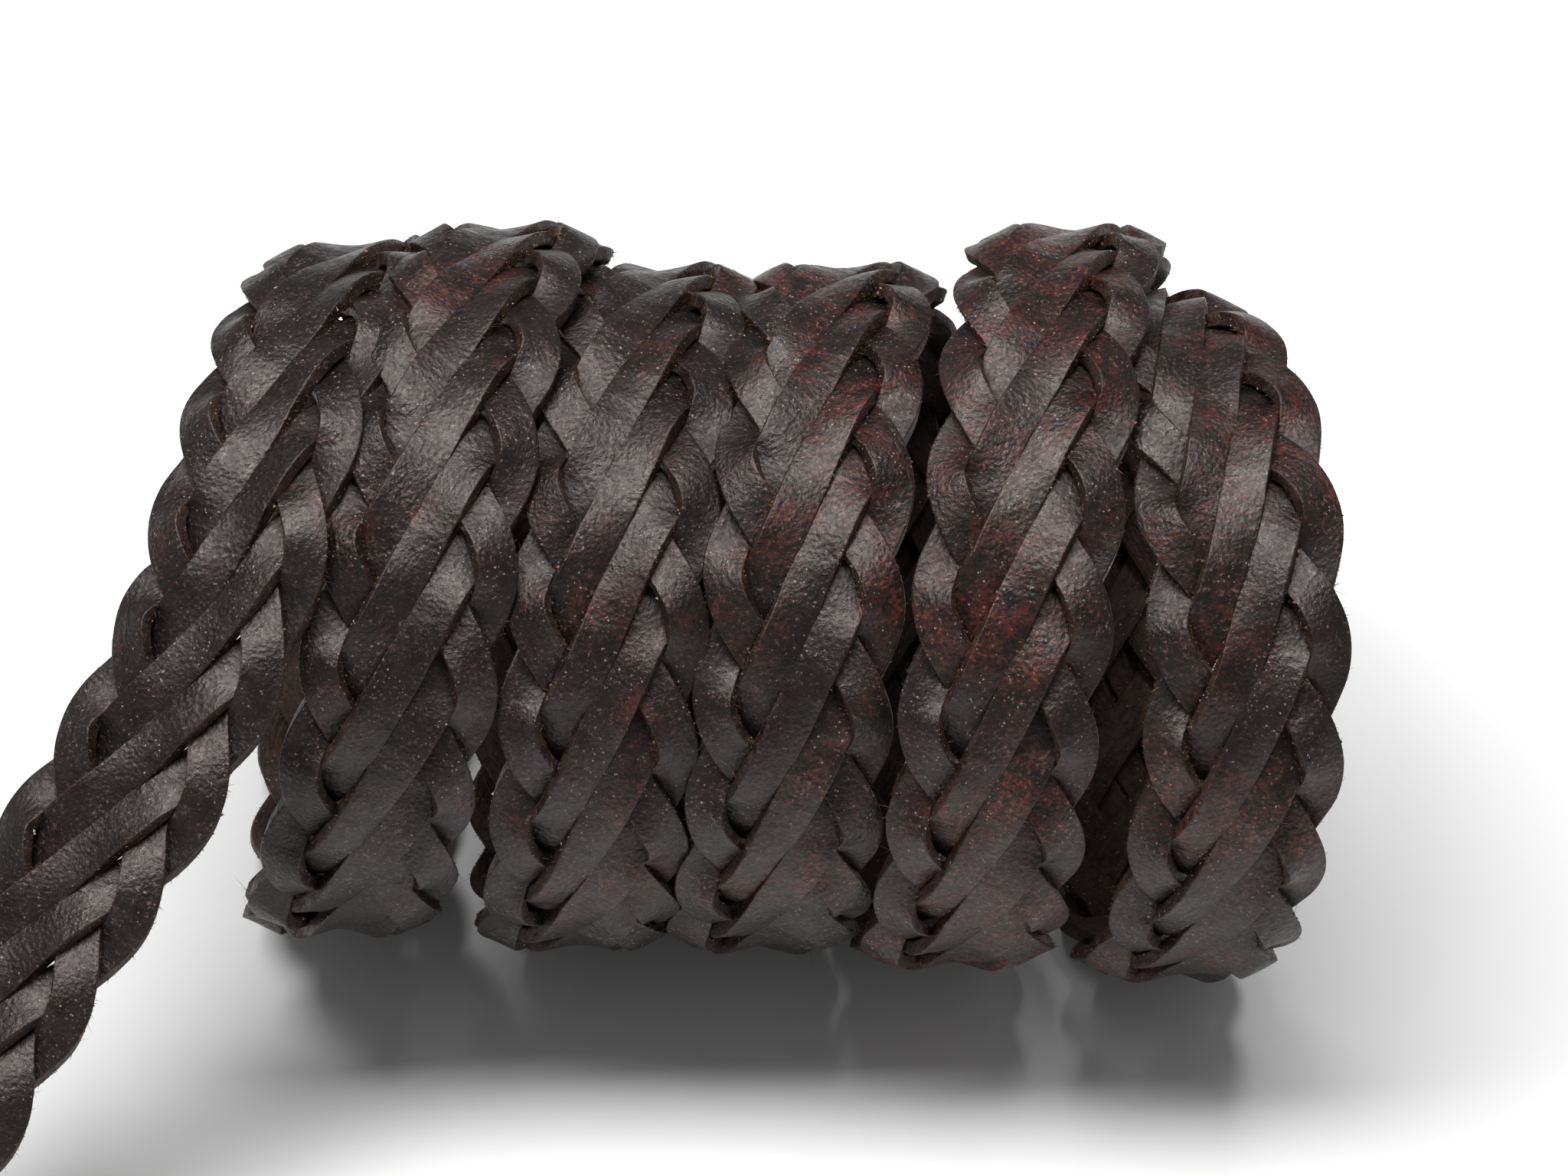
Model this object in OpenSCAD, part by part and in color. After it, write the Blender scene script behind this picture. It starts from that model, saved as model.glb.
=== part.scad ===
// Plaited leather headband, wound in a coil.
//
// A flat plait of six leather laces, a little over a metre long. It lies wound
// in a loose coil of six turns about X, its start tucked inside the coil and
// its tail leaving the last turn in a straight line down to the surface.
// Millimetres, +Z up. The origin is the middle of the underside.

/* [Lace] */
// Width of one lace
lace_w = 3.2; // [2.6:0.05:3.4]
// Thickness of one lace
lace_t = 1.2; // [0.8:0.05:1.4]
// Rings of points along a lace in one pitch of the plait
rings_per_pitch = 4; // [2:1:4]

/* [Plait] */
// Advance of the plait from one edge loop to the next
pitch = 9.4; // [8.8:0.1:10.5]
// Scale of the laces' sideways travel
spread = 1; // [0.98:0.01:1.02]
// Scale of the laces' rise and fall
rise = 1; // [0.95:0.01:1.1]

/* [Coil] */
// Radius of the plait's middle line in an even turn
coil_r = 27; // [25:0.5:32]

/* [Bound ends] */
// Length of each end binding
bind_len = 8; // [5:0.5:9]
// Wall of each end binding
bind_wall = 1; // [0.7:0.1:1.4]
// Turns of thong in each end binding
bind_turns = 4; // [3:1:5]

/* [Hidden] */
laces = 6;
end_len = 24;      // from the last crossing to the tips of the laces
gather_len = 6;    // over which the laces close up to a binding
gap = 0.06;        // between laces, and between laces and binding

// The travel of one lace, at each quarter pitch from the plait's right edge to
// the middle of its long run, and from the middle of its short run back to the
// right edge. The other half of each run is the same, turned about.
side_long = [6.0, 6.0, 5.35, 4.4, 3.4, 2.6, 1.78, 0.9, 0];
side_short = [0, 1.75, 3.45, 5.05, 6.0];
height_long = [0.5, -0.2, -0.85, -0.85, -0.15, 0.6, 0.85, 0.75, 0.65];
height_short = [-1.15, -0.9, -0.05, 0.6, 0.5];
roll_long = [10, -4, -16, -6, 4, -12, -16, -11, 0];
roll_short = [0, 2, -5, 3, 10];

// The coil's middle line at each quarter turn: place along the axis, radius
// over coil_r, and how far the plait leans about its own line, in degrees. The
// first key stands an eighth turn under the back.
first_key = -45;
start_angle = -20;
leave_angle = 1935;
coil_keys = [
    [20, -4.2, 0], [30, -4, 0], [38.3, 1.1, 0], [34.2, 2.2, 0],
    [30, 0.8, 0], [26, 1.5, 0], [20.4, 1.6, 0], [16.2, 1.2, 0],
    [12.2, 0.2, 0], [7.9, -1.6, 0], [4.4, -0.4, 0], [0.8, 0, 0],
    [-2.9, 0.2, 0], [-6.5, -1.7, 0], [-10.4, -0.5, 0], [-14.2, -0.2, 0],
    [-17.2, 0.6, 0], [-19.2, 1.6, 0], [-25.6, 0.4, 0], [-33, -1.4, 0],
    [-33.6, 0.8, 0], [-31.4, 0.2, 4], [-40, 0, 20], [-52, 0, 20]
];
// The tail, from the coil's axis: straight down the front, then flat.
tail_points = [
    [-45.8, -27.6, 10.6, 20], [-52, -34.7, 3.5, 20], [-59.6, -43.1, -4.9, 18],
    [-66.5, -51.6, -13.4, 14], [-72.3, -59.8, -21, 8],
    [-77, -68, -26, 2], [-81.5, -77, -27.6, 0], [-85, -86, -27.6, 0]
];

function cubic(a, b, c, d, t) =
    b + 0.5 * t * (c - a + t * (2 * a - 5 * b + 4 * c - d
        + t * (3 * (b - c) + d - a)));
function clip(v, lo, hi) = max(lo, min(hi, v));
function along(keys, q) =
    let (n = len(keys) - 1, i = clip(floor(q), 0, n - 1))
    cubic(keys[max(i - 1, 0)], keys[i], keys[i + 1],
          keys[min(i + 2, n)], q - i);
function unit(v) = v / norm(v);
function smooth(t) = let (k = clip(t, 0, 1)) k * k * (3 - 2 * k);

// Lays one run's keys out over its whole length, turned about with a sign.
function whole(long, short, sign) = [
    for (v = long) v,
    for (i = [len(long) - 2 : -1 : 0]) sign * long[i],
    for (i = [len(short) - 2 : -1 : 0]) sign * short[i],
    for (i = [1 : len(short) - 1]) short[i]
];
sides = whole(side_long, side_short, -1);
heights = whole(height_long, height_short, 1);
rolls = whole(roll_long, roll_short, -1);
function cyclic(keys, c) =
    let (n = len(keys) - 1, q = (c - laces * floor(c / laces)) * n / laces,
         i = floor(q))
    cubic(keys[(i + n - 1) % n], keys[i % n], keys[(i + 1) % n],
          keys[(i + 2) % n], q - i);

// The route of the plait's middle line, about the coil's axis.
function coil_point(a) =
    let (k = along(coil_keys, (a - first_key) / 90), r = coil_r + k[1])
    [k[0], r * cos(a), r * sin(a), k[2]];
coil_line = [for (a = [start_angle : 5 : leave_angle]) coil_point(a)];
tail_line = concat(
    [coil_point(leave_angle - 20), coil_point(leave_angle)], tail_points
);
route = concat(coil_line, [
    for (i = [1 : len(tail_line) - 2], t = [0.2 : 0.2 : 1])
        cubic(tail_line[i - 1], tail_line[i], tail_line[i + 1],
              tail_line[min(i + 2, len(tail_line) - 1)], t)
]);
function place_of(p) = [p[0], p[1], p[2]];
function gap_after(i) = i + 1 < len(route)
    ? norm(place_of(route[i + 1]) - place_of(route[i])) : 0;
reach = [
    for (i = 0, s = 0; i < len(route); s = s + gap_after(i), i = i + 1) s
];
table = [
    for (k = [0 : 3]) [for (i = [0 : len(route) - 1]) [reach[i], route[i][k]]]
];
function at(s) = [for (k = [0 : 2]) lookup(s, table[k])];
function lean(s) = lookup(s, table[3]);
route_len = reach[len(reach) - 1];
pitches = floor((route_len - 2 * end_len) / pitch);
plait_start = end_len;
plait_end = end_len + pitches * pitch;

// One station: [place, across, out] of the plait at length s.
function station(s) =
    let (t = unit(at(s + 1) - at(s - 1)),
         b = unit([1, 0, 0] - t[0] * t), n = cross(t, b), l = lean(s))
    [at(s), cos(l) * b + sin(l) * n, cos(l) * n - sin(l) * b];
step = pitch / rings_per_pitch;
before = floor(end_len / step);
after = before;
count = before + pitches * rings_per_pitch + after;
stations = [for (i = [0 : count]) station(plait_start + (i - before) * step)];

// Place of lace k at station i, and its roll, with the ends gathered in two
// layers of three.
function layer(k) = k % 2 == 0 ? 1 : -1;
function row(k) = k == 0 || k == 1 ? 1 : k == 2 || k == 5 ? 0 : -1;
function lane(i) =
    clip((i - before) / rings_per_pitch, 0, pitches);
function outside(i) =
    step * max(before - i, i - (count - after));
function packed_lane(k, i) = (k + (i > count / 2 ? pitches : 0)) % laces;
function side(k, i) =
    let (g = smooth(outside(i) / gather_len), j = packed_lane(k, i))
    (1 - g) * spread * cyclic(sides, k + lane(i))
        + g * row(j) * (lace_w + gap);
function height(k, i) =
    let (g = smooth(outside(i) / gather_len), j = packed_lane(k, i))
    (1 - g) * rise * cyclic(heights, k + lane(i))
        + g * layer(j) * (lace_t + gap) / 2;
function roll(k, i) =
    (1 - smooth(outside(i) / gather_len)) * cyclic(rolls, k + lane(i));
function place(k, i) =
    let (f = stations[clip(i, 0, count)])
    f[0] + side(k, i) * f[1] + height(k, i) * f[2];

function ring(k, i) =
    let (f = stations[i],
         t = unit(place(k, min(i + 1, count)) - place(k, max(i - 1, 0))),
         e = unit(cross(t, f[2])), m = cross(e, t), r = roll(k, i),
         w = -cos(r) * e - sin(r) * m, n = cos(r) * m - sin(r) * e)
    [for (q = [[1, 1], [-1, 1], [-1, -1], [1, -1]])
        place(k, i) + q[0] * lace_w / 2 * w + q[1] * lace_t / 2 * n];

// Joins rings of points into one closed solid.
module skin(rings, colour) {
    n = len(rings[0]);
    m = len(rings);
    points = [for (r = rings, p = r) p];
    walls = [
        for (j = [0 : m - 2], i = [0 : n - 1]) let (a = j * n + i,
            b = j * n + (i + 1) % n) each [[a, b + n, b], [a, a + n, b + n]]
    ];
    caps = [[for (i = [0 : n - 1]) i],
            [for (i = [n - 1 : -1 : 0]) (m - 1) * n + i]];
    color(colour) translate(-foot) polyhedron(points, concat(walls, caps));
}

// Every other lace ends one ring short of its neighbour.
function lace_rings(k) =
    [for (i = [k % 2 : count - (k + 1) % 2]) ring(k, i)];

module lace(k, colour) { skin(lace_rings(k), colour); }
module lace_1() { lace(0, "#3b2a29"); }
module lace_2() { lace(1, "#3f2b2a"); }
module lace_3() { lace(2, "#382828"); }
module lace_4() { lace(3, "#432c2a"); }
module lace_5() { lace(4, "#3a2b2b"); }
module lace_6() { lace(5, "#402a28"); }

// A binding: a sleeve along the route, ribbed by its turns of thong. Its
// section is a rounded oblong, closed as a tube.
bind_at = gather_len + 1.5;
bore_w = 1.5 * lace_w + 2 * gap;
bore_t = lace_t + 2 * gap;
corner = [for (a = [0 : 30 : 90]) [cos(a), sin(a)]];
function oblong(w, t, r) = [
    for (q = [[1, 1], [-1, 1], [-1, -1], [1, -1]],
         i = q[0] * q[1] > 0 ? [0 : 3] : [3 : -1 : 0])
        [q[0] * (w - r + r * corner[i][0]), q[1] * (t - r + r * corner[i][1])]
];
function on(f, p) = f[0] + p[0] * f[1] + p[1] * f[2];
module binding(from) {
    n = 16;
    m = 4 * bind_turns;
    frames = [for (j = [0 : m]) station(from + j * bind_len / m)];
    bulge = [for (j = [0 : m]) bind_wall * (0.75 + 0.25 * sin(45 * (j * 2)))];
    outer = [for (j = [0 : m]) [for (p = oblong(bore_w + bulge[j],
        bore_t + bulge[j], bulge[j] + 0.2)) on(frames[j], p)]];
    inner = [for (j = [0 : m]) [for (p = oblong(bore_w, bore_t, 0.2))
        on(frames[j], p)]];
    points = [for (r = concat(outer, inner), p = r) p];
    base = (m + 1) * n;
    walls = [for (j = [0 : m - 1], i = [0 : n - 1]) let (a = j * n + i,
        b = j * n + (i + 1) % n) each [
            [a, b + n, b], [a, a + n, b + n],
            [base + b, base + a + n, base + a],
            [base + b, base + b + n, base + a + n]]];
    rims = [for (i = [0 : n - 1]) let (k = (i + 1) % n, t = m * n) each [
        [i, base + k, base + i], [i, k, base + k],
        [t + k, base + t + i, base + t + k], [t + k, t + i, base + t + i]]];
    color("#2b1f1e") translate(-foot) polyhedron(points, concat(walls, rims));
}
module start_binding() { binding(plait_start - bind_at - bind_len); }
module tail_binding() { binding(plait_end + bind_at); }

// The middle of the underside of all the laces, which the bindings lie within.
all_points = [
    for (k = [0 : laces - 1], r = lace_rings(k), p = r) p
];
function lowest(i) = min([for (p = all_points) p[i]]);
function highest(i) = max([for (p = all_points) p[i]]);
foot = [
    (lowest(0) + highest(0)) / 2, (lowest(1) + highest(1)) / 2, lowest(2)
];

lace_1();
lace_2();
lace_3();
lace_4();
lace_5();
lace_6();
start_binding();
tail_binding();
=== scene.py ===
"""A plaited leather headband, wound in a loose coil, on a pale floor.

The coil's route and the laces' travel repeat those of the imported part, in
metres, and each lace is built again from them as a finely divided mesh.
"""

import math

import bpy
import numpy as np
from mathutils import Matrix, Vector


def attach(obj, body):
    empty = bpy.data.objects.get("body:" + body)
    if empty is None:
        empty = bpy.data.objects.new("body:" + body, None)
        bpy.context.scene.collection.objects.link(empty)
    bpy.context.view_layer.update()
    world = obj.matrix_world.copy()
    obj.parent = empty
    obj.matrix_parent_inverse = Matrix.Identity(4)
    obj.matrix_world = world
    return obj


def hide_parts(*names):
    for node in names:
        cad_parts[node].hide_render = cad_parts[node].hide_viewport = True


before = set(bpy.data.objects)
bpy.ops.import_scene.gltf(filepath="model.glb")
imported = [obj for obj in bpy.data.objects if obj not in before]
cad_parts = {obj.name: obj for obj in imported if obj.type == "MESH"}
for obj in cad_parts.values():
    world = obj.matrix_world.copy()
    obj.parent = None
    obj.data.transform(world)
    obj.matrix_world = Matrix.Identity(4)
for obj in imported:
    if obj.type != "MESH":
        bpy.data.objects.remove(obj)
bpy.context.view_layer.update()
MM = 0.001

# ---------------------------------------------------------------- dimensions
LACES = 6
LACE_W = 3.2 * MM
LACE_T = 1.2 * MM
PITCH = 9.4 * MM
CAD_RINGS = 4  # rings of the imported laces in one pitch
FINE = 24  # rings of these laces in one pitch
COIL_R = 27 * MM
END_LEN = 24 * MM
GATHER = 6 * MM
GAP = 0.06 * MM

# The travel of one lace at each quarter pitch, in millimetres and degrees:
# sideways, in height and in roll, over half of its long run on top of the
# plait and half of its short run back.
SIDE_LONG = [6.0, 6.0, 5.35, 4.4, 3.4, 2.6, 1.78, 0.9, 0]
SIDE_SHORT = [0, 1.75, 3.45, 5.05, 6.0]
HEIGHT_LONG = [0.5, -0.2, -0.85, -0.85, -0.15, 0.6, 0.85, 0.75, 0.65]
HEIGHT_SHORT = [-1.15, -0.9, -0.05, 0.6, 0.5]
ROLL_LONG = [10, -4, -16, -6, 4, -12, -16, -11, 0]
ROLL_SHORT = [0, 2, -5, 3, 10]

# The coil's middle line at each quarter turn, in millimetres: place along
# the axis, radius over COIL_R, and the plait's lean in degrees.
FIRST_KEY = -45
START_ANGLE = -20
LEAVE_ANGLE = 1935
COIL_KEYS = [
    (20, -4.2, 0), (30, -4, 0), (38.3, 1.1, 0), (34.2, 2.2, 0),
    (30, 0.8, 0), (26, 1.5, 0), (20.4, 1.6, 0), (16.2, 1.2, 0),
    (12.2, 0.2, 0), (7.9, -1.6, 0), (4.4, -0.4, 0), (0.8, 0, 0),
    (-2.9, 0.2, 0), (-6.5, -1.7, 0), (-10.4, -0.5, 0), (-14.2, -0.2, 0),
    (-17.2, 0.6, 0), (-19.2, 1.6, 0), (-25.6, 0.4, 0), (-33, -1.4, 0),
    (-33.6, 0.8, 0), (-31.4, 0.2, 4), (-40, 0, 20), (-52, 0, 20),
]
# The tail leaves the coil through these: a point about the coil's axis, in
# millimetres, and the plait's lean.
TAIL_POINTS = [
    (-45.8, -27.6, 10.6, 20), (-52, -34.7, 3.5, 20),
    (-59.6, -43.1, -4.9, 18), (-66.5, -51.6, -13.4, 14),
    (-72.3, -59.8, -21, 8), (-77, -68, -26, 2),
    (-81.5, -77, -27.6, 0), (-85, -86, -27.6, 0),
]
MM_AND_DEGREES = np.array([MM, MM, MM, 1])

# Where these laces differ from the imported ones: wider, and at the plait's
# edges narrower again and leaning over more, by degrees, over some pitches.
WIDER = 0.08
TURN_NARROWER = 0.03
TURN_LEAN = 16
TURN_REACH = 1.1

# Unevenness of the laces: the length of one swell, and its usual size.
RISE_SWELL = (7 * MM, 0.06 * MM)
SIDE_SWELL = (9 * MM, 0.05 * MM)
ROLL_SWELL = (6 * MM, math.radians(1.5))
WIDTH_SWELL = (8 * MM, 0.015)
EDGE_SWELL = (1.3 * MM, 0.008)
THICK_SWELL = (5 * MM, 0.03)
CUP_SWELL = (3.5 * MM, 0.05 * MM)
LACE_SEED = 40

# The same height sets how fast the painted groove shade deepens.
SUNK_DEPTH = 1.3 * MM  # height over which a lace goes from proud to sunk
FULL_CREASE = 160  # bend per metre at which the wrinkles are deepest


# -------------------------------------------------------------------- curves
def cubic(a, b, c, d, t):
    return b + 0.5 * t * (c - a + t * (2 * a - 5 * b + 4 * c - d
                                       + t * (3 * (b - c) + d - a)))


def along(keys, q):
    """Smooth value between keys, at each of the places q."""
    n = len(keys) - 1
    i = np.clip(np.floor(q).astype(int), 0, n - 1)
    t = (q - i)[:, None]
    return cubic(keys[np.maximum(i - 1, 0)], keys[i], keys[i + 1],
                 keys[np.minimum(i + 2, n)], t)


def whole(long, short, sign):
    """One cycle of a lace from half of each run: the other halves are the
    same backwards, times sign."""
    return np.array(long + [sign * v for v in long[-2::-1]]
                    + [sign * v for v in short[-2::-1]] + short[1:], float)


def cyclic(keys, c):
    """Smooth value of a cycle's keys, c pitches on."""
    n = len(keys) - 1
    q = np.mod(c, LACES) * n / LACES
    i = np.floor(q).astype(int)
    return cubic(keys[(i + n - 1) % n], keys[i % n], keys[(i + 1) % n],
                 keys[(i + 2) % n], q - i)


def smooth(t):
    t = np.clip(t, 0, 1)
    return t * t * (3 - 2 * t)


def length_so_far(line):
    steps = np.linalg.norm(np.diff(line, axis=0), axis=1)
    return np.concatenate([[0], np.cumsum(steps)])


def unit(v):
    return v / np.linalg.norm(v, axis=-1, keepdims=True)


SIDES = whole(SIDE_LONG, SIDE_SHORT, -1) * MM
HEIGHTS = whole(HEIGHT_LONG, HEIGHT_SHORT, 1) * MM
ROLLS = np.radians(whole(ROLL_LONG, ROLL_SHORT, -1))


def coil_points(angles):
    keys = along(np.array(COIL_KEYS, float), (angles - FIRST_KEY) / 90)
    r = COIL_R + keys[:, 1] * MM
    a = np.radians(angles)
    return np.stack([keys[:, 0] * MM, r * np.cos(a), r * np.sin(a),
                     keys[:, 2]], 1)


def make_route():
    """The plait's middle line about the coil's axis, with its lean, and the
    length so far."""
    coil = coil_points(np.arange(START_ANGLE, LEAVE_ANGLE + 1, 5.0))
    tail = np.vstack([
        coil_points(np.array([LEAVE_ANGLE - 20.0, LEAVE_ANGLE])),
        np.array(TAIL_POINTS, float) * MM_AND_DEGREES,
    ])
    last = len(tail) - 1
    steps = [
        cubic(tail[i - 1], tail[i], tail[i + 1], tail[min(i + 2, last)], t)
        for i in range(1, last) for t in (0.2, 0.4, 0.6, 0.8, 1.0)
    ]
    line = np.vstack([coil, steps])
    return line, length_so_far(line[:, :3])


ROUTE, REACH = make_route()
PITCHES = math.floor((REACH[-1] - 2 * END_LEN) / PITCH)
PLAIT_START = END_LEN
PLAIT_END = END_LEN + PITCHES * PITCH


def at(s):
    return np.stack([np.interp(s, REACH, ROUTE[:, k]) for k in range(3)], -1)


def stations(s):
    """(place, across, out) of the plait at the lengths s."""
    reach = 1 * MM
    t = unit(at(s + reach) - at(s - reach))
    b = unit(np.array([1.0, 0, 0]) - t[:, :1] * t)
    n = np.cross(t, b)
    lean = np.radians(np.interp(s, REACH, ROUTE[:, 3]))[:, None]
    c, w = np.cos(lean), np.sin(lean)
    return at(s), c * b + w * n, c * n - w * b


def outside(s):
    """How far the lengths s are past either end of the plaiting."""
    return np.maximum(PLAIT_START - s, s - PLAIT_END)


def lace_line(k, s):
    """Middle line of lace k and its roll. Past the plaiting the laces are
    gathered, three wide and two deep."""
    place, across, out = stations(s)
    lane = np.clip((s - PLAIT_START) / PITCH, 0, PITCHES)
    j = np.where(s > REACH[-1] / 2, (k + PITCHES) % LACES, k)
    g = smooth(outside(s) / GATHER)
    layer = np.where(j % 2 == 0, 1, -1)
    row = np.select([j <= 1, (j == 2) | (j == 5)], [1, 0], -1)
    side = (1 - g) * cyclic(SIDES, k + lane) + g * row * (LACE_W + GAP)
    height = ((1 - g) * cyclic(HEIGHTS, k + lane)
              + g * layer * (LACE_T + GAP) / 2)
    roll = (1 - g) * cyclic(ROLLS, k + lane)
    return (place + side[:, None] * across + height[:, None] * out,
            roll, across, out)


def cad_foot():
    """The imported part's origin, as seen from the coil's axis: the middle of
    its laces' box, at their lowest point."""
    step = PITCH / CAD_RINGS
    before = math.floor(END_LEN / step)
    count = before * 2 + PITCHES * CAD_RINGS
    s = PLAIT_START + (np.arange(count + 1) - before) * step
    points = []
    for k in range(LACES):
        line, roll, _, out = lace_line(k, s)
        w, n = section_axes(line, roll, out)
        ends = slice(k % 2, count + 1 - (k + 1) % 2)
        for a, b in ((1, 1), (-1, 1), (-1, -1), (1, -1)):
            points.append((line + a * LACE_W / 2 * w + b * LACE_T / 2 * n)[ends])
    points = np.vstack(points)
    low, high = points.min(0), points.max(0)
    return np.array([(low[0] + high[0]) / 2, (low[1] + high[1]) / 2, low[2]])


def section_axes(line, roll, out):
    """Across and up of a lace's own section along its line."""
    after = np.vstack([line[1:], line[-1:]])
    prior = np.vstack([line[:1], line[:-1]])
    t = unit(after - prior)
    e = unit(np.cross(t, out))
    m = np.cross(e, t)
    c, s = np.cos(roll)[:, None], np.sin(roll)[:, None]
    return -c * e - s * m, c * m - s * e


AXIS = -cad_foot()  # the coil's axis in the part's frame, at x = 0 of its keys


# -------------------------------------------------------------------- camera
ELEVATION = math.radians(45)
DISTANCE = 0.5
VIEW_W = 0.1268  # width seen at the coil's axis
SENSOR = 36
AIM_RIGHT = 2.9 * MM  # from the coil's middle, in the picture
AIM_UP = 0.8 * MM
aim = Vector(AXIS) + Vector((AIM_RIGHT, 0, 0)) + Vector(
    (0, math.sin(ELEVATION), math.cos(ELEVATION))) * AIM_UP
cam_data = bpy.data.cameras.new("camera")
cam_data.sensor_width = SENSOR
cam_data.lens = SENSOR * DISTANCE / VIEW_W
cam_data.clip_start = 0.01
cam = bpy.data.objects.new("camera", cam_data)
bpy.context.collection.objects.link(cam)
back = Vector((0, -math.cos(ELEVATION), math.sin(ELEVATION)))
cam.location = aim + back * DISTANCE
cam.rotation_euler = back.to_track_quat("Z", "Y").to_euler()
bpy.context.scene.camera = cam


# ------------------------------------------------------------------ materials
class Nodes:
    """Short calls for building one node tree."""

    def __init__(self, name):
        self.mat = bpy.data.materials.new(name)
        self.mat.use_nodes = True
        self.tree = self.mat.node_tree
        self.bsdf = self.tree.nodes["Principled BSDF"]

    def put(self, kind, inputs=(), **settings):
        node = self.tree.nodes.new(kind)
        for key, value in settings.items():
            setattr(node, key, value)
        for key, value in dict(inputs).items():
            self.feed(node, key, value)
        return node

    def feed(self, node, key, value):
        if isinstance(value, bpy.types.NodeSocket):
            self.tree.links.new(value, node.inputs[key])
        else:
            node.inputs[key].default_value = value

    def attribute(self, name):
        return self.put("ShaderNodeAttribute", attribute_name=name).outputs

    def noise(self, vector, scale, detail=3.0, rough=0.55):
        return self.put("ShaderNodeTexNoise", {
            "Vector": vector, "Scale": scale, "Detail": detail,
            "Roughness": rough}).outputs["Fac"]

    def math(self, kind, a, b=0.0, c=0.0, clamp=False):
        return self.put("ShaderNodeMath", {0: a, 1: b, 2: c},
                        operation=kind, use_clamp=clamp).outputs[0]

    def span(self, value, low, high, to_low=0.0, to_high=1.0):
        return self.put("ShaderNodeMapRange", {
            "Value": value, "From Min": low, "From Max": high,
            "To Min": to_low, "To Max": to_high},
            interpolation_type="SMOOTHSTEP").outputs["Result"]

    def mix(self, fac, a, b):
        node = self.put("ShaderNodeMix", data_type="RGBA")
        self.feed(node, 0, fac)
        self.feed(node, 6, a)
        self.feed(node, 7, b)
        return node.outputs[2]

    def bump(self, height, strength, distance, normal=None):
        inputs = {"Height": height, "Strength": strength,
                  "Distance": distance}
        if normal is not None:
            inputs["Normal"] = normal
        return self.put("ShaderNodeBump", inputs).outputs["Normal"]


def rgb(r, g, b):
    """Linear colour from sRGB numbers of 0 to 255."""
    lin = [((v / 255 + 0.055) / 1.055) ** 2.4 if v > 10 else v / 3294.6
           for v in (r, g, b)]
    return (*lin, 1.0)


# Colours, and how many of a pattern's features there are in a metre.
DYE_DARK, DYE_LIGHT = rgb(12, 8, 8), rgb(37, 25, 24)
WORN_DARK, WORN_LIGHT = rgb(60, 20, 15), rgb(92, 34, 24)
# The pale bloom colour paints glints in the grain as well as wax bloom.
PORE, GLINT_BLOOM = rgb(5, 4, 4), rgb(124, 101, 95)
# Painted shade for the grooves where a lace sinks under its neighbours.
GROOVE_SHADE = rgb(7, 5, 5)
RAW_DARK, RAW_LIGHT = rgb(16, 11, 10), rgb(66, 43, 32)
DUST = rgb(158, 142, 134)
HAIR_DARK, HAIR_LIGHT = rgb(40, 26, 20), rgb(146, 106, 78)
LINT = rgb(190, 178, 166)
FLOOR_DARK, FLOOR_LIGHT = (0.83, 0.83, 0.83, 1), (0.85, 0.85, 0.85, 1)
PATCHES, TONES, MOTTLES, FINE_GRAIN, PEBBLES = 100.0, 210.0, 650.0, 2600.0, 2900.0
GLINT_BLOOM_DRIFTS, RAW_DRIFTS, LUMPS = 330.0, 380.0, 420.0
DUST_SPECKS, DUST_CLUMPS, DUST_DRIFTS, DUST_FRAY = 2300.0, 1700.0, 150.0, 9000.0
# The same along a lace, and across its half width.
STREAKS, WRINKLES, RAW_FIBRES = (70.0, 2.6), (2300.0, 3.4), (900.0, 4.0)
# Depths of the relief.
LUMP_DEPTH, WRINKLE_DEPTH = 0.2 * MM, 0.11 * MM
GRAIN_DEPTH, RAW_DEPTH = 0.09 * MM, 0.25 * MM
WAX_TINT = (1.0, 0.89, 0.86, 1.0)


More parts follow.
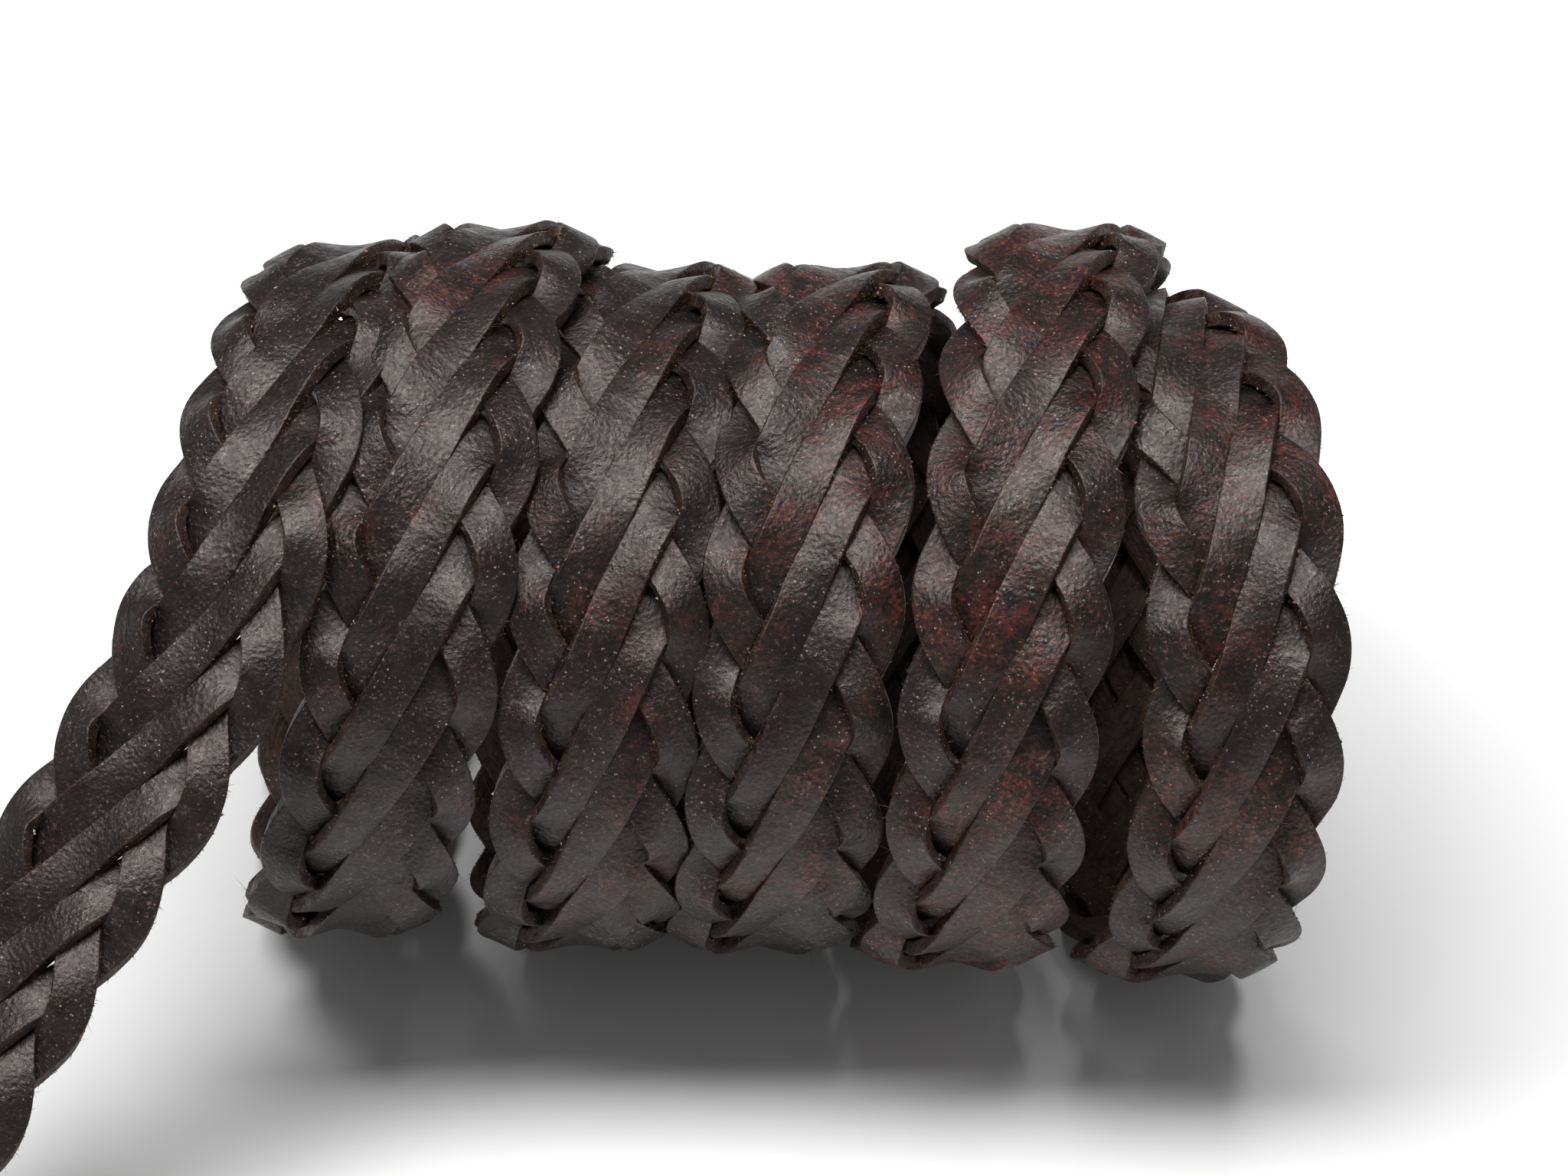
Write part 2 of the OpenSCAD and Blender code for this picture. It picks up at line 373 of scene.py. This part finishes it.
def leather(name, shift):
    """Dark waxed lace: near-black brown, red-brown where it is worn, raw
    fibrous edges, pebbled grain and fine wrinkles across its length. A shift
    of its own gives each lace its own streaks."""
    n = Nodes(name)
    place = n.put("ShaderNodeTexCoord").outputs["Object"]
    length = n.attribute("along")["Fac"]
    cross = n.attribute("across")["Fac"]
    edge = n.attribute("edge")["Fac"]
    flesh = n.attribute("flesh")["Fac"]
    crease = n.attribute("crease")["Fac"]
    sunk = n.attribute("sunk")["Fac"]
    red_zone = n.attribute("red_zone")["Fac"]
    strip = n.put("ShaderNodeCombineXYZ", {
        "X": length, "Y": cross, "Z": shift}).outputs[0]

    def stretched(scales, detail=3.0, rough=0.6):
        return n.noise(n.put("ShaderNodeVectorMath", {
            0: strip, 1: (*scales, 1.0)}, operation="MULTIPLY").outputs[0],
            1.0, detail, rough)

    # Broad patches: where the dye has worn to red-brown.
    patch = n.noise(place, PATCHES, 3.0, 0.6)
    patch = n.math("ADD", patch, n.math("MULTIPLY", red_zone, 0.13))
    worn = n.span(patch, 0.48, 0.74)
    mottle = n.noise(place, MOTTLES, 5.0, 0.7)
    worn = n.math("MULTIPLY", worn, n.span(mottle, 0.36, 0.62), clamp=True)
    streak = n.span(stretched(STREAKS), 0.36, 0.66)
    tone = n.span(n.noise(place, TONES, 4.0, 0.62), 0.34, 0.68)
    tone = n.math("MULTIPLY", n.math("ADD", tone, streak), 0.5)
    colour = n.mix(worn, n.mix(tone, DYE_DARK, DYE_LIGHT),
                   n.mix(tone, WORN_DARK, WORN_LIGHT))
    # Dark pores, pale specks in the grain that are painted glints as well as wax
    # bloom, and painted shade down in the grooves.
    fine = n.noise(place, FINE_GRAIN, 4.0, 0.74)
    colour = n.mix(n.span(fine, 0.42, 0.54, 1.0, 0.0), colour, PORE)
    # Pale specks in the grain: painted glints as well as wax bloom.
    drift = n.span(n.noise(place, GLINT_BLOOM_DRIFTS, 3.0, 0.6),
                   0.4, 0.64, 0.1, 0.75)
    colour = n.mix(n.math("MULTIPLY", n.span(fine, 0.56, 0.7), drift),
                   colour, GLINT_BLOOM)
    # Painted shade: the lower a lace sinks under its neighbours, the darker it is
    # painted.
    colour = n.mix(n.math("MULTIPLY", sunk, 0.85), colour, GROOVE_SHADE)
    # Raw edges and the flesh side show brown fibre.
    fibre = stretched(RAW_FIBRES, 4.0, 0.7)
    raw = n.mix(n.span(fibre, 0.35, 0.7), RAW_DARK, RAW_LIGHT)
    colour = n.mix(n.math("MULTIPLY", flesh, 0.8), colour, raw)
    side_raw = n.math("MULTIPLY", edge, n.span(
        n.noise(place, RAW_DRIFTS, 4.0, 0.65), 0.4, 0.6, 0.1, 0.85))
    colour = n.mix(side_raw, colour, raw)
    # Specks of pale dust.
    dust = n.put("ShaderNodeTexVoronoi", {
        "Vector": place, "Scale": DUST_SPECKS},
        feature="F1").outputs["Distance"]
    dust = n.math("ADD", dust, n.math(
        "MULTIPLY", n.noise(place, DUST_FRAY, 2.0), 0.5))
    speck = n.math("MULTIPLY", n.span(dust, 0.35, 0.49, 1.0, 0.0),
                   n.span(n.noise(place, DUST_CLUMPS, 2.0), 0.46, 0.6))
    speck = n.math("MULTIPLY", speck, n.span(
        n.noise(place, DUST_DRIFTS, 3.0), 0.38, 0.6, 0.1, 0.85))
    colour = n.mix(speck, colour, DUST)
    n.feed(n.bsdf, "Base Color", colour)

    # Waxed top, dull raw parts.
    rough = n.span(mottle, 0.34, 0.66, 0.22, 0.4)
    rough = n.math("ADD", rough, n.span(fine, 0.4, 0.6, 0.16, -0.04))
    dull = n.math("MAXIMUM", flesh, n.math("MULTIPLY", side_raw, 0.8))
    dull = n.math("MAXIMUM", dull, n.math("MULTIPLY", sunk, 0.6))
    rough = n.math("ADD", rough, n.math("MULTIPLY", dull, 0.4), clamp=True)
    rough = n.math("ADD", rough, n.math("MULTIPLY", speck, 0.3), clamp=True)
    n.feed(n.bsdf, "Roughness", rough)
    n.bsdf.inputs["Specular IOR Level"].default_value = 0.5
    n.bsdf.inputs["Specular Tint"].default_value = WAX_TINT

    # Pebble, crosswise wrinkles and shallow lumps.
    pebble = n.put("ShaderNodeTexVoronoi", {
        "Vector": place, "Scale": PEBBLES, "Randomness": 1.0},
        feature="SMOOTH_F1").outputs["Distance"]
    grain = n.math("ADD", n.math("MULTIPLY", pebble, 0.7), fine)
    wrinkle = n.math("MULTIPLY", stretched(WRINKLES), n.math(
        "ADD", n.math("MULTIPLY", crease, 0.9), 0.15))
    lumps = n.noise(place, LUMPS, 3.0)
    normal = n.bump(lumps, 0.6, LUMP_DEPTH)
    normal = n.bump(wrinkle, 0.7, WRINKLE_DEPTH, normal)
    normal = n.bump(grain, 0.8, GRAIN_DEPTH, normal)
    normal = n.bump(n.math("MULTIPLY", fibre, dull), 0.8, RAW_DEPTH, normal)
    n.feed(n.bsdf, "Normal", normal)
    return n.mat


def fibre_material():
    n = Nodes("raw_fibre")
    tint = n.attribute("tint")["Fac"]
    colour = n.mix(tint, HAIR_DARK, HAIR_LIGHT)
    colour = n.mix(n.span(tint, 1.0, 1.6), colour, LINT)
    n.feed(n.bsdf, "Base Color", colour)
    n.bsdf.inputs["Roughness"].default_value = 0.8
    n.bsdf.inputs["Specular IOR Level"].default_value = 0.25
    return n.mat


def floor_material():
    n = Nodes("floor")
    place = n.put("ShaderNodeTexCoord").outputs["Object"]
    tone = n.noise(place, 40.0, 2.0)
    n.feed(n.bsdf, "Base Color", n.mix(tone, FLOOR_DARK, FLOOR_LIGHT))
    n.bsdf.inputs["Roughness"].default_value = 0.9
    n.bsdf.inputs["Specular IOR Level"].default_value = 0.1
    return n.mat


# ---------------------------------------------------------------------- laces
def wander(rng, s, period, size):
    """A smooth random curve along s."""
    count = int((s[-1] - s[0]) / period) + 5
    keys = rng.normal(0, 1, (count, 1))
    return size * along(keys, (s - s[0]) / period + 1)[:, 0]


def lace_section():
    """Outline of a lace as (across, up, edge, flesh), across and up in half
    widths and half thicknesses: a crowned top with softly rounded edges, raw
    sides, and a flat flesh side with tighter corners."""
    outline = []
    for q in np.linspace(-0.9, 0.9, 9):
        outline.append((q, 1 - 0.05 * q * q, 0.0, 0.0))
    shoulder = [
        (0.95, 0.94, 0.2, 0.0), (0.983, 0.86, 0.6, 0.0),
        (0.998, 0.72, 0.9, 0.0), (1.0, 0.3, 1.0, 0.1),
        (1.0, -0.3, 1.0, 0.3), (0.992, -0.74, 1.0, 0.6),
        (0.955, -0.95, 0.8, 0.9),
    ]
    outline += shoulder
    for q in (0.78, 0.3, -0.3, -0.78):
        outline.append((q, -1.0, 0.0, 1.0))
    outline += [(-q, h, e, f) for q, h, e, f in reversed(shoulder)]
    return np.array(outline)


SECTION = lace_section()


# How far the dye has worn, by the place along the coil's axis in millimetres:
# least at the tail.
RED_AT = [-60, -40, -24, -8, 6, 20, 32, 45]
RED = [-0.5, -0.6, -0.3, 0.25, 0.3, 0.9, 0.5, 0.35]
CUP_LEVEL = 0.4  # where across a cupped lace its height stays as it was
LACE_SHIFT, THONG_SHIFT = 3.7, 41.0


def red_amount(points):
    return np.interp((points[:, 0] - AXIS[0]) / MM, RED_AT, RED)


def mesh_object(name, points, faces, material, smooth_faces=True):
    mesh = bpy.data.meshes.new(name)
    mesh.from_pydata(points.tolist(), [], faces)
    mesh.materials.append(material)
    mesh.validate()
    mesh.polygons.foreach_set("use_smooth",
                              [smooth_faces] * len(mesh.polygons))
    mesh.update()
    obj = bpy.data.objects.new(name, mesh)
    bpy.context.collection.objects.link(obj)
    return obj


def store(obj, name, values):
    """Keep one number a vertex, for the materials."""
    data = obj.data.attributes.new(name, "FLOAT", "POINT")
    data.data.foreach_set("value", np.asarray(values, np.float32).ravel())


def store_strip(obj, reach, crease, sunk, red_zone):
    """What the leather reads at each point of a strip of sections: the
    length so far is given by ring, the last three by point."""
    store(obj, "along", np.repeat(reach, len(SECTION)))
    for name, column in (("across", 0), ("edge", 2), ("flesh", 3)):
        store(obj, name, np.tile(SECTION[:, column], len(reach)))
    store(obj, "crease", crease)
    store(obj, "sunk", sunk)
    store(obj, "red_zone", red_zone)


def tube_faces(rings, n):
    """Faces of a closed tube of rings of n points, looking outward."""
    faces = []
    for j in range(rings - 1):
        a = j * n
        faces += [(a + i, a + n + i, a + n + (i + 1) % n, a + (i + 1) % n)
                  for i in range(n)]
    faces.append(tuple(range(n)))
    faces.append(tuple((rings - 1) * n + i for i in range(n - 1, -1, -1)))
    return faces


def make_lace(k, material):
    """Lace k, and what its edges follow: its line, the section's axes, its
    two half widths and its half thickness."""
    rng = np.random.default_rng(LACE_SEED + k)
    cad_step = PITCH / CAD_RINGS
    before = math.floor(END_LEN / cad_step) * cad_step
    first = PLAIT_START - before + (k % 2) * cad_step
    last = PLAIT_END + before - ((k + 1) % 2) * cad_step
    s = np.arange(first, last, PITCH / FINE)
    line, roll, across, out = lace_line(k, s)
    free = 1 - smooth(outside(s) / GATHER)
    lane = np.clip((s - PLAIT_START) / PITCH, 0, PITCHES) + k
    half = LACES / 2
    right_turn = free * smooth(
        1 - np.abs((lane + half) % LACES - half) / TURN_REACH)
    left_turn = free * smooth(
        1 - np.abs((lane - 1) % LACES - half) / TURN_REACH)
    roll = roll + math.radians(TURN_LEAN) * (right_turn - left_turn)
    line = line + (wander(rng, s, *RISE_SWELL) * free)[:, None] * out
    line = line + (wander(rng, s, *SIDE_SWELL) * free)[:, None] * across
    roll = roll + wander(rng, s, *ROLL_SWELL) * free
    w, n = section_axes(line, roll, out)
    wide = LACE_W / 2 * (1 + WIDER * free
                         - TURN_NARROWER * (right_turn + left_turn)
                         + wander(rng, s, *WIDTH_SWELL))
    left = wide * (1 + wander(rng, s, *EDGE_SWELL))
    right = wide * (1 + wander(rng, s, *EDGE_SWELL))
    thick = LACE_T / 2 * (1 + wander(rng, s, *THICK_SWELL))

    q, h = SECTION[:, 0], SECTION[:, 1]
    span = np.where(q[None, :] > 0, left[:, None], right[:, None]) * q
    cup = wander(rng, s, *CUP_SWELL) * free
    rise = thick[:, None] * h + cup[:, None] * (q * q - CUP_LEVEL)
    points = (line[:, None, :] + span[..., None] * w[:, None, :]
              + rise[..., None] * n[:, None, :])
    count = len(SECTION)
    flat = points.reshape(-1, 3) + AXIS
    flat[:, 2] = np.maximum(flat[:, 2], 0)
    obj = mesh_object(f"plaited_lace_{k + 1}", flat,
                      tube_faces(len(s), count), material)
    middle_line = stations(s)[0]
    level = ((points - middle_line[:, None, :]) * out[:, None, :]).sum(2)
    t = unit(np.gradient(line, axis=0))
    bend = np.linalg.norm(np.gradient(t, axis=0), axis=1) / (PITCH / FINE)
    crease = np.repeat(np.clip(bend / FULL_CREASE, 0, 1), count)
    # How low each point sits under its neighbours: the painted groove shade and a
    # duller roughness follow it.
    sunk = np.clip(0.5 - level / SUNK_DEPTH, 0, 1)
    store_strip(obj, s, crease, sunk, red_amount(flat))
    return obj, (line + AXIS, w, n, left, right, thick)


LACE_MATERIALS = [leather(f"dark_leather_{k + 1}", LACE_SHIFT * k)
                  for k in range(LACES)]
laces = []
for k in range(LACES):
    obj, lace = make_lace(k, LACE_MATERIALS[k])
    laces.append(lace)
    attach(obj, "root")
    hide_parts(f"lace_{k + 1}")


# ------------------------------------------------------------ fibre and grit
CLUMP_STEPS = 30.0  # length of a clump, in steps along a lace
CLUMP_SPREAD = 0.9
# Frayed fibre: name, hairs on each lace, usual length, radius at the root
# and seed.
HAIR_KINDS = [
    ("edge_stubble", 7500, 0.23 * MM, 0.035 * MM, 7),
    ("edge_fibres", 2200, 0.5 * MM, 0.022 * MM, 8),
]
HAIR_SHAPE = 2.2  # of the gamma spread of lengths
CRUMBS = 4000  # on each lace
CRUMB_SHAPE, CRUMB_SIZE = 3, 0.022 * MM
CRUMB_SEED = 11
CRUMB_TINTS = [0.1, 0.5, 1.0, 1.6]
CRUMB_SHARES = [0.35, 0.35, 0.22, 0.08]


def spikes(rng, roots, heads, width):
    """Thin three-sided hairs from roots to heads, as points and faces."""
    count = len(roots)
    lead = unit(heads - roots)
    side = unit(np.cross(lead, rng.normal(0, 1, (count, 3))))
    other = np.cross(lead, side)
    ring = [roots + width * (math.cos(a) * side + math.sin(a) * other)
            for a in (0, 2 * math.pi / 3, 4 * math.pi / 3)]
    points = np.stack(ring + [heads], 1).reshape(-1, 3)
    faces = []
    for i in range(0, 4 * count, 4):
        faces += [(i, i + 1, i + 3), (i + 1, i + 2, i + 3),
                  (i + 2, i, i + 3), (i + 2, i + 1, i)]
    return points, faces


def edge_places(rng, lace, count):
    """Random places on a lace's raw edges, in clumps: place, outward, up and
    along."""
    line, w, n, left, right, thick = lace
    odds = np.exp(wander(rng, np.arange(len(line)),
                         CLUMP_STEPS, CLUMP_SPREAD))
    odds[:4] = odds[-4:] = 0
    i = rng.choice(len(line), count, p=odds / odds.sum())
    side = rng.choice([-1.0, 1.0], count)
    reach = np.where(side > 0, right[i], left[i])[:, None]
    up = rng.uniform(-0.95, 0.85, count)[:, None] * thick[i][:, None]
    out = side[:, None] * w[i]
    t = unit(line[np.minimum(i + 1, len(line) - 1)] - line[i - 1])
    along_it = rng.uniform(-0.5, 0.5, count)[:, None] * PITCH / FINE * t
    return line[i] + along_it + out * reach * 0.98 + up * n[i], out, n[i], t


def make_fibres(laces, name, each, size, width, seed):
    """Frayed fibre along the raw edges, as one piece."""
    rng = np.random.default_rng(seed)
    roots, heads = [], []
    for lace in laces:
        place, out, up, t = edge_places(rng, lace, each)
        length = rng.gamma(HAIR_SHAPE, size / HAIR_SHAPE, (each, 1))
        roots.append(place)
        heads.append(place + length * unit(
            out * rng.uniform(0.2, 1.0, (each, 1))
            + up * rng.normal(0.1, 0.5, (each, 1))
            + t * rng.normal(0, 0.8, (each, 1))))
    roots, heads = np.vstack(roots), np.vstack(heads)
    roots[:, 2] = np.maximum(roots[:, 2], width)
    heads[:, 2] = np.maximum(heads[:, 2], width)
    points, faces = spikes(rng, roots, heads, width)
    obj = mesh_object(name, points, faces, FIBRE)
    store(obj, "tint", np.repeat(rng.beta(1.0, 1.8, len(points) // 4), 4))
    return obj


def make_grit(laces):
    """Crumbs of leather and lint caught along the edges of the laces."""
    rng = np.random.default_rng(CRUMB_SEED)
    octahedron = np.array([(1, 0, 0), (-1, 0, 0), (0, 1, 0), (0, -1, 0),
                           (0, 0, 1), (0, 0, -1)], float)
    sides = np.array([(0, 2, 4), (2, 1, 4), (1, 3, 4), (3, 0, 4),
                      (2, 0, 5), (1, 2, 5), (3, 1, 5), (0, 3, 5)])
    places = np.vstack([edge_places(rng, lace, CRUMBS)[0] for lace in laces])
    count = len(places)
    size = rng.gamma(CRUMB_SHAPE, CRUMB_SIZE, (count, 1, 1))
    points = (places[:, None, :]
              + octahedron * rng.uniform(0.5, 1.4, (count, 6, 1)) * size)
    points[..., 2] = np.maximum(points[..., 2], 0)
    faces = (sides[None] + 6 * np.arange(count)[:, None, None]).reshape(-1, 3)
    obj = mesh_object("groove_grit", points.reshape(-1, 3), faces.tolist(),
                      FIBRE, False)
    tint = rng.choice(CRUMB_TINTS, count, p=CRUMB_SHARES)
    store(obj, "tint", np.repeat(tint, 6))
    return obj


FIBRE = fibre_material()
for obj in [make_fibres(laces, *kind) for kind in HAIR_KINDS] + [
        make_grit(laces)]:
    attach(obj, "root")


# ------------------------------------------------------------------- bindings
BIND_AT = GATHER + 1.5 * MM
BIND_LEN = 8 * MM
BIND_TURNS = 4
STEPS_A_TURN = 72
TURNS_SHORT = 0.02
THONG_T = 0.8 * MM
THONG_FILL = 0.97  # share of each winding's room that the thong takes
THONG_SWELL = (0.2, 0.03 * MM)  # in turns and metres
THONG_CREASE = 0.4
THONG_RED = -0.3
WIDE_POWER = 0.22
HIGH_POWER = 0.484


def oblong(turn, w, t):
    """Point at a turn round an oblong of half width w and half height t: the
    smaller the powers, the squarer it is."""
    a = turn * 2 * math.pi
    c, s = np.cos(a), np.sin(a)
    return (np.sign(c) * np.abs(c) ** WIDE_POWER * w,
            np.sign(s) * np.abs(s) ** HIGH_POWER * t)


def make_binding(name, start, material, seed):
    """A thong wound round the gathered laces from the length start."""
    rng = np.random.default_rng(seed)
    pitch = BIND_LEN / BIND_TURNS
    turns = np.linspace(0, BIND_TURNS - TURNS_SHORT,
                        STEPS_A_TURN * BIND_TURNS)
    x, y = oblong(turns, 1.5 * LACE_W + 2 * GAP + THONG_T / 2,
                  LACE_T + 2 * GAP + THONG_T / 2)
    s = start + pitch / 2 + (BIND_LEN - pitch) * turns / turns[-1]
    place, across, out = stations(s)
    line = place + x[:, None] * across + y[:, None] * out
    line += wander(rng, turns, *THONG_SWELL)[:, None] * out
    lead = unit(stations(s + MM)[0] - stations(s - MM)[0])
    t = unit(np.gradient(line, axis=0))
    w = unit(lead - (lead * t).sum(1, keepdims=True) * t)
    n = np.cross(w, t)
    flip = np.sign(((line - place) * n).sum(1, keepdims=True))
    n = n * np.where(flip == 0, 1, flip)
    q, h = SECTION[:, 0], SECTION[:, 1]
    wide = pitch * THONG_FILL / 2
    points = (line[:, None, :] + (q * wide)[None, :, None] * w[:, None, :]
              + (h * THONG_T / 2)[None, :, None] * n[:, None, :])
    flat = points.reshape(-1, 3) + AXIS
    obj = mesh_object(f"{name}_thong", flat,
                      tube_faces(len(line), len(SECTION)), material)
    store_strip(obj, length_so_far(line), np.full(len(flat), THONG_CREASE),
                np.zeros(len(flat)), np.full(len(flat), THONG_RED))
    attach(obj, "root")
    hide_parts(name)
    return obj


THONG = leather("thong_leather", THONG_SHIFT)
make_binding("start_binding", PLAIT_START - BIND_AT - BIND_LEN, THONG, 21)
make_binding("tail_binding", PLAIT_END + BIND_AT, THONG, 22)


# ------------------------------------------------------------ floor and light
FLOOR_HALF = 3.0
FLOOR_Z = -0.05 * MM
WORLD_STRENGTH = 0.22
KEY_PLACE = (-0.05, 0.02, 0.6)
KEY_SIZE = (0.2, 0.54)
KEY_POWER = 5.2

corners = [(x * FLOOR_HALF, y * FLOOR_HALF, FLOOR_Z)
           for x, y in ((-1, -1), (1, -1), (1, 1), (-1, 1))]
floor = mesh_object("floor", np.array(corners), [(0, 1, 2, 3)],
                    floor_material())

world = bpy.data.worlds.new("world")
world.use_nodes = True
sky = world.node_tree.nodes["Background"]
sky.inputs["Color"].default_value = (1, 1, 1, 1)
sky.inputs["Strength"].default_value = WORLD_STRENGTH
bpy.context.scene.world = world


def area_light(name, place, target, size, power):
    data = bpy.data.lights.new(name, "AREA")
    data.shape = "RECTANGLE"
    data.size, data.size_y = size
    data.energy = power
    light = bpy.data.objects.new(name, data)
    bpy.context.collection.objects.link(light)
    light.location = place
    aim_at = Vector(target) - Vector(place)
    light.rotation_euler = aim_at.to_track_quat("-Z", "Y").to_euler()


area_light("key", KEY_PLACE, tuple(AXIS), KEY_SIZE, KEY_POWER)
bpy.context.scene.view_settings.view_transform = "Standard"
